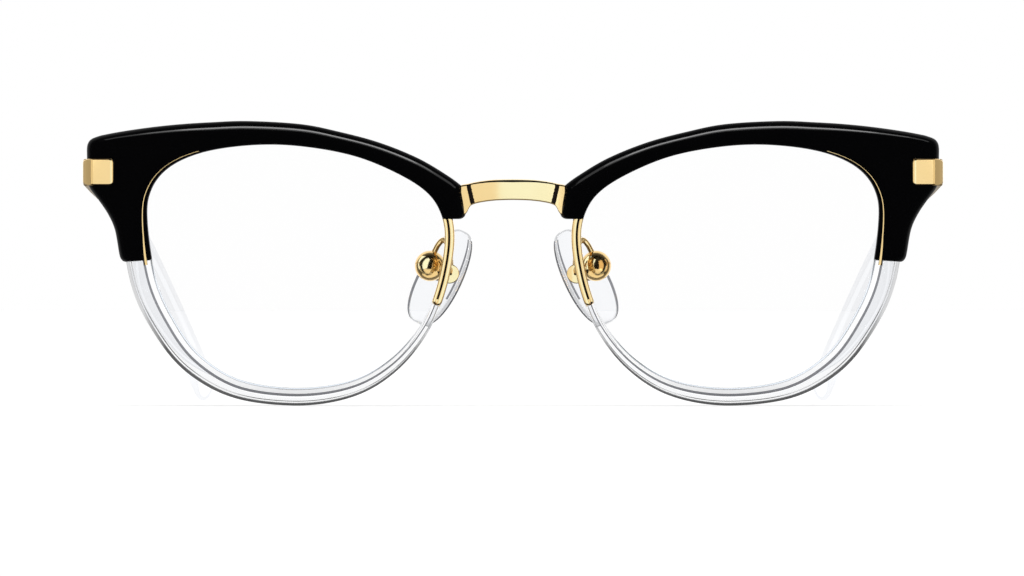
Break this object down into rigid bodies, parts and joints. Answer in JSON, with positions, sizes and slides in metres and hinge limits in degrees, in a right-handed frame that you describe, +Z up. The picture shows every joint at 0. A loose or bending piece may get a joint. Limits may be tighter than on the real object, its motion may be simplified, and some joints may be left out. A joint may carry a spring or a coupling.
{
  "type": "browline glasses",
  "caption": "Browline glasses: black brows over clear half rims, gold bridge and eyewire, hinged temples and rocking nose pads.",
  "frame": {"origin": "on the ground, under the middle of the glasses' width and depth as they stand open on their rims and temple tips", "axes": "+Z up, the front faces -Y and the temples run to +Y, +X is the wearer's left, which is the viewer's right from the front"},
  "size_m": [0.1402, 0.1409, 0.0463],
  "materials": {
    "black_acetate": "polished cellulose acetate, black",
    "clear_acetate": "polished cellulose acetate, crystal clear",
    "lens_clear": "clear plastic lens, uncoloured",
    "clear_silicone": "clear silicone, smooth",
    "gold_metal": "polished pale gold plating on a copper alloy",
    "screw_steel": "fine gold-coloured steel screws"
  },
  "bodies": {
    "front": {"brow_left": "black_acetate", "brow_right": "black_acetate", "lower_rim_left": "clear_acetate", "lower_rim_right": "clear_acetate", "eyewire_left": "gold_metal", "eyewire_right": "gold_metal", "lens_left": "lens_clear", "lens_right": "lens_clear", "bridge": "gold_metal", "brow_screws": "screw_steel", "corner_plate_left": "gold_metal", "corner_plate_right": "gold_metal", "hinge_front_left": "gold_metal", "hinge_front_right": "gold_metal", "hinge_screws": "screw_steel", "pad_arm_left": "gold_metal", "pad_arm_right": "gold_metal", "pad_box_left": "gold_metal", "pad_box_right": "gold_metal", "pad_screws": "screw_steel"},
    "temple_left": {"hinge_temple_left": "gold_metal", "temple_arm_left": "gold_metal", "temple_tip_left": "clear_acetate"},
    "temple_right": {"hinge_temple_right": "gold_metal", "temple_arm_right": "gold_metal", "temple_tip_right": "clear_acetate"},
    "pad_left": {"pad_stem_left": "gold_metal", "nose_pad_left": "clear_silicone"},
    "pad_right": {"pad_stem_right": "gold_metal", "nose_pad_right": "clear_silicone"}
  },
  "joints": [
    {"name": "temple_left_fold", "type": "hinge", "parent": "front", "child": "temple_left", "pos_m": [0.0674, -0.05856, 0.038], "axis": [0, 0.0872, 0.9962], "range_deg": [0, 84]},
    {"name": "temple_right_fold", "type": "hinge", "parent": "front", "child": "temple_right", "pos_m": [-0.0674, -0.05856, 0.038], "axis": [0, -0.0872, -0.9962], "range_deg": [0, 78]},
    {"name": "pad_left_rock", "type": "hinge", "parent": "front", "child": "pad_left", "pos_m": [0.01351, -0.06215, 0.02273], "axis": [0.7083, 0.6157, 0.3454], "range_deg": [-10, 10]},
    {"name": "pad_right_rock", "type": "hinge", "parent": "front", "child": "pad_right", "pos_m": [-0.01351, -0.06215, 0.02273], "axis": [0.7083, -0.6157, -0.3454], "range_deg": [-10, 10]}
  ]
}
